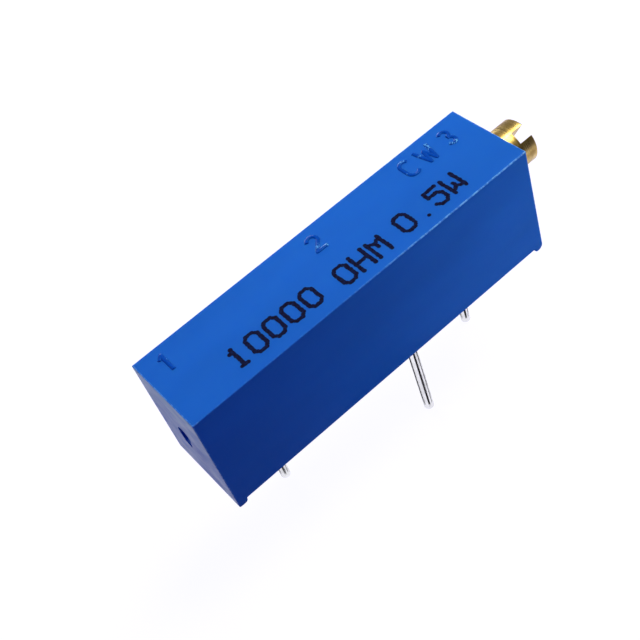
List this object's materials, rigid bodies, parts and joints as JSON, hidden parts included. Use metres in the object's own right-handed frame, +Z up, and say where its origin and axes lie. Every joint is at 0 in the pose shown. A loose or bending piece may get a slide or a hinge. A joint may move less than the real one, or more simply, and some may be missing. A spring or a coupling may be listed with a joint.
{
  "type": "trimmer potentiometer",
  "caption": "Rectangular multi-turn trimmer potentiometer: moulded housing with a slotted lead screw at one end, a hidden wiper carriage that the screw drives, and round board pins in two rows.",
  "frame": {"origin": "axis of terminal 1 at the seating plane, where the undersides of the feet lie", "axes": "+X along the body to the screw head, +Z up from the board, terminals 1 and 3 in the row at y = 0"},
  "size_m": [0.0207, 0.0048, 0.0122],
  "materials": {
    "housing_plastic": "satin moulded, blue",
    "seal_resin": "cast resin, slightly uneven",
    "plate_ceramic": "fired, matt white",
    "track_cermet": "printed and fired, matt black",
    "film_silver": "printed and fired, satin",
    "pin_tin": "tinned, bright",
    "solder": "reflowed, bright",
    "retainer_steel": "stamped",
    "screw_brass": "turned and polished",
    "ring_rubber": "matt",
    "carriage_nylon": "moulded, natural",
    "wiper_alloy": "stamped, bright"
  },
  "bodies": {
    "body": {"housing": "housing_plastic", "base_seal": "seal_resin", "element_substrate": "plate_ceramic", "resistive_track": "track_cermet", "collector_track": "film_silver", "end_pad_1": "film_silver", "end_pad_3": "film_silver", "terminal_pin_1": "pin_tin", "terminal_pin_2": "pin_tin", "terminal_pin_3": "pin_tin", "solder_joint_1": "solder", "solder_joint_2": "solder", "solder_joint_3": "solder", "screw_retainer": "retainer_steel"},
    "screw": {"adjusting_screw": "screw_brass", "shaft_seal_ring": "ring_rubber"},
    "carriage": {"carriage": "carriage_nylon", "wiper_spring": "wiper_alloy"}
  },
  "joints": [
    {"name": "screw_turn", "type": "hinge", "parent": "body", "child": "screw", "pos_m": [0.01555, -0.00127, 0.00445], "axis": [1, 0, 0], "range_deg": [-2701, 2701]},
    {"name": "carriage_travel", "type": "slide", "parent": "body", "child": "carriage", "axis": [1, 0, 0], "range_m": [-0.006, 0.006]}
  ],
  "couplings": [
    {"joint": "screw_turn", "follows": "carriage_travel", "rad_per_m": -7854}
  ]
}
